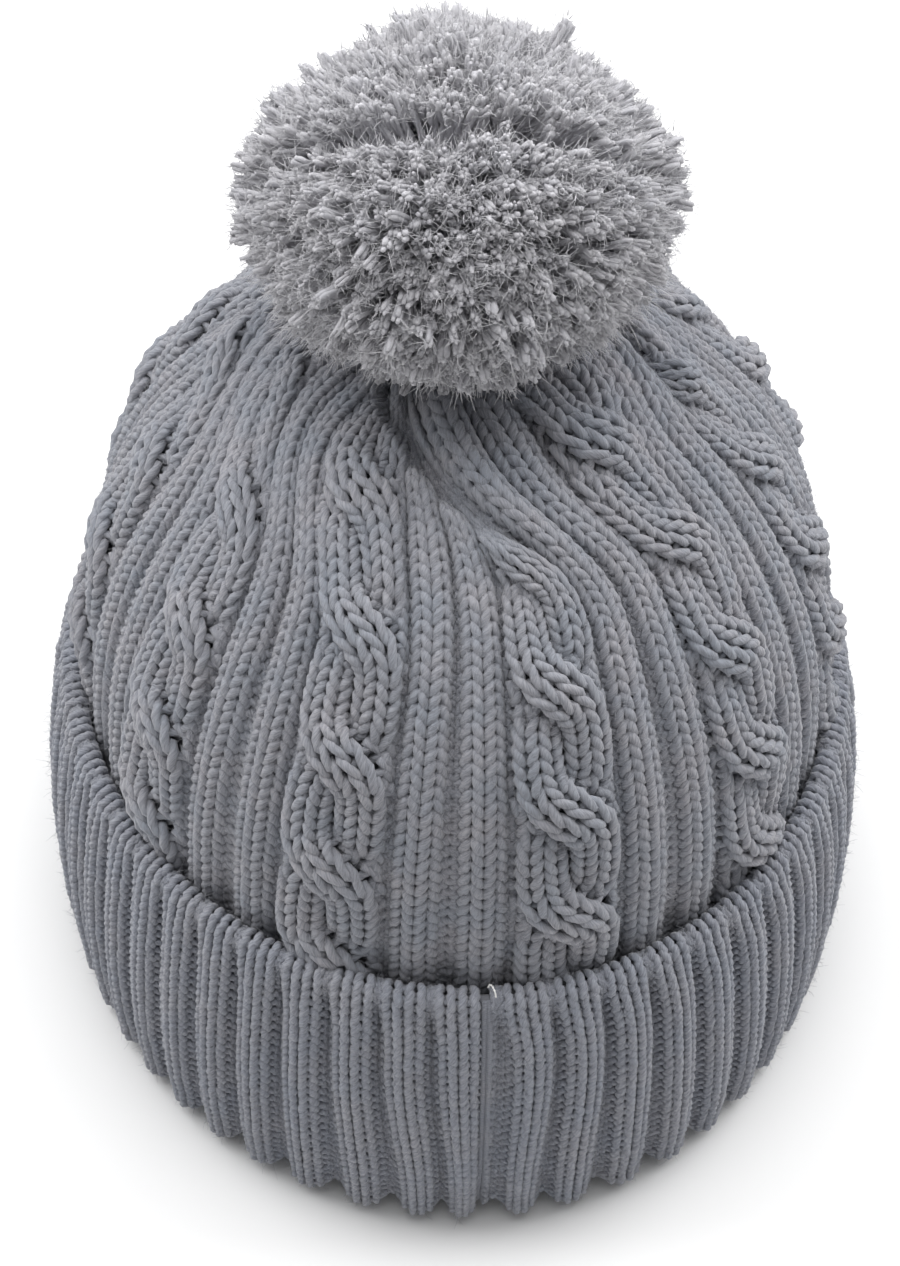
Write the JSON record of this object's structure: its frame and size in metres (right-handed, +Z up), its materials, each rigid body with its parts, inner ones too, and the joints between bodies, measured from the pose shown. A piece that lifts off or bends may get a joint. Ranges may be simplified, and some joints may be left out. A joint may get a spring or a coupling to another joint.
{
  "type": "pom pom beanie",
  "caption": "Cable-knit winter hat with a turned-up ribbed cuff, a gathered crown and a cut-yarn pom-pom tied on top.",
  "frame": {"origin": "centre of the cuff's bottom fold, in the plane the hat stands on", "axes": "+Z up through the crown to the pom-pom; -Y towards the back of the head, where the seam is; X across the head"},
  "size_m": [0.19, 0.2224, 0.235],
  "materials": {
    "crown_knit": "matte",
    "rib_knit": "matte",
    "pompom_yarn": "matte",
    "thread": "matte",
    "tack_thread": "matte",
    "label_satin": "satin"
  },
  "bodies": {
    "hat": {"crown_shell": "crown_knit", "rib_band": "rib_knit", "cuff": "rib_knit", "cuff_seam": "rib_knit", "back_seam": "crown_knit", "gather_thread": "thread", "cuff_tack_stitch": "tack_thread", "anchor_knot": "thread"},
    "tie": {"tie_shank": "thread"},
    "collar": {"neck_wrap": "thread"},
    "pompom": {"pompom_ball": "pompom_yarn", "pompom_binding": "thread"},
    "label": {"care_label": "label_satin"}
  },
  "joints": [
    {"name": "pompom_twist", "type": "hinge", "parent": "hat", "child": "tie", "pos_m": [0, 0, 0.176], "axis": [0, 0, 1], "range_deg": [-60, 60], "stiffness_Nm_per_rad": 0.02},
    {"name": "pompom_nod", "type": "hinge", "parent": "tie", "child": "collar", "pos_m": [0, 0, 0.176], "axis": [1, 0, 0], "range_deg": [-14, 14], "stiffness_Nm_per_rad": 0.12},
    {"name": "pompom_sway", "type": "hinge", "parent": "collar", "child": "pompom", "pos_m": [0, 0, 0.176], "axis": [0, 1, 0], "range_deg": [-14, 14], "stiffness_Nm_per_rad": 0.12},
    {"name": "label_flap", "type": "hinge", "parent": "hat", "child": "label", "pos_m": [0, -0.0894, 0.068], "axis": [1, 0, 0], "range_deg": [0, 80]}
  ]
}
